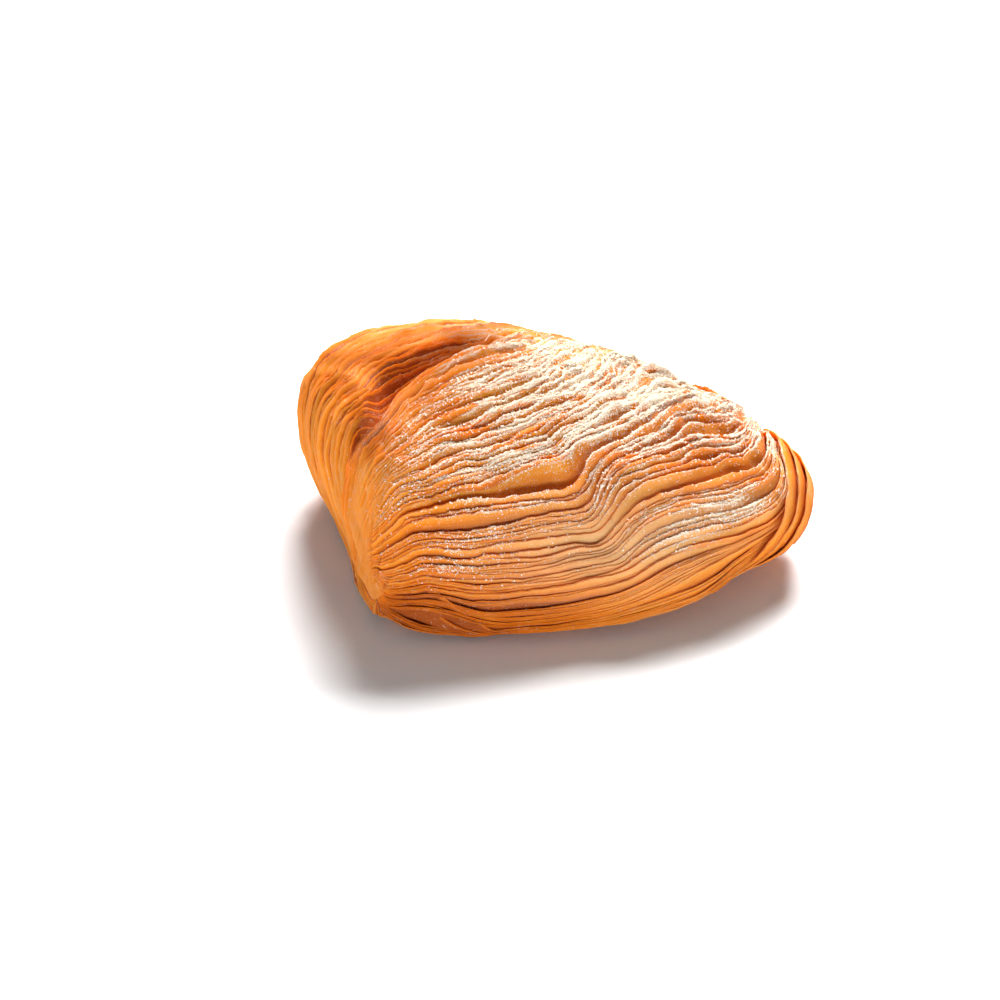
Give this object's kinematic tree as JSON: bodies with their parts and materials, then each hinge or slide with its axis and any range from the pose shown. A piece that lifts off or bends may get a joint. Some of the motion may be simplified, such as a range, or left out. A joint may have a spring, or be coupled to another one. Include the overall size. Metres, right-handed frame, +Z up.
{
  "type": "sfogliatella",
  "caption": "Shell-shaped baked pastry of many thin overlapping leaves fanning from one corner, with a wide closed mouth, an open fold near the tip and a flattened underside.",
  "frame": {"origin": "centre of the bounding box's bottom, on the surface the pastry rests on", "axes": "+X along the longest side, toward the far corner where the leaves end; +Y toward the narrow tip's side at the back; +Z up"},
  "size_m": [0.1128, 0.081, 0.0417],
  "materials": {
    "crust": "dry baked flaky crust, golden with browned edges and a dusting of fine sugar"
  },
  "bodies": {
    "root": {"pastry": "crust"}
  },
  "joints": []
}
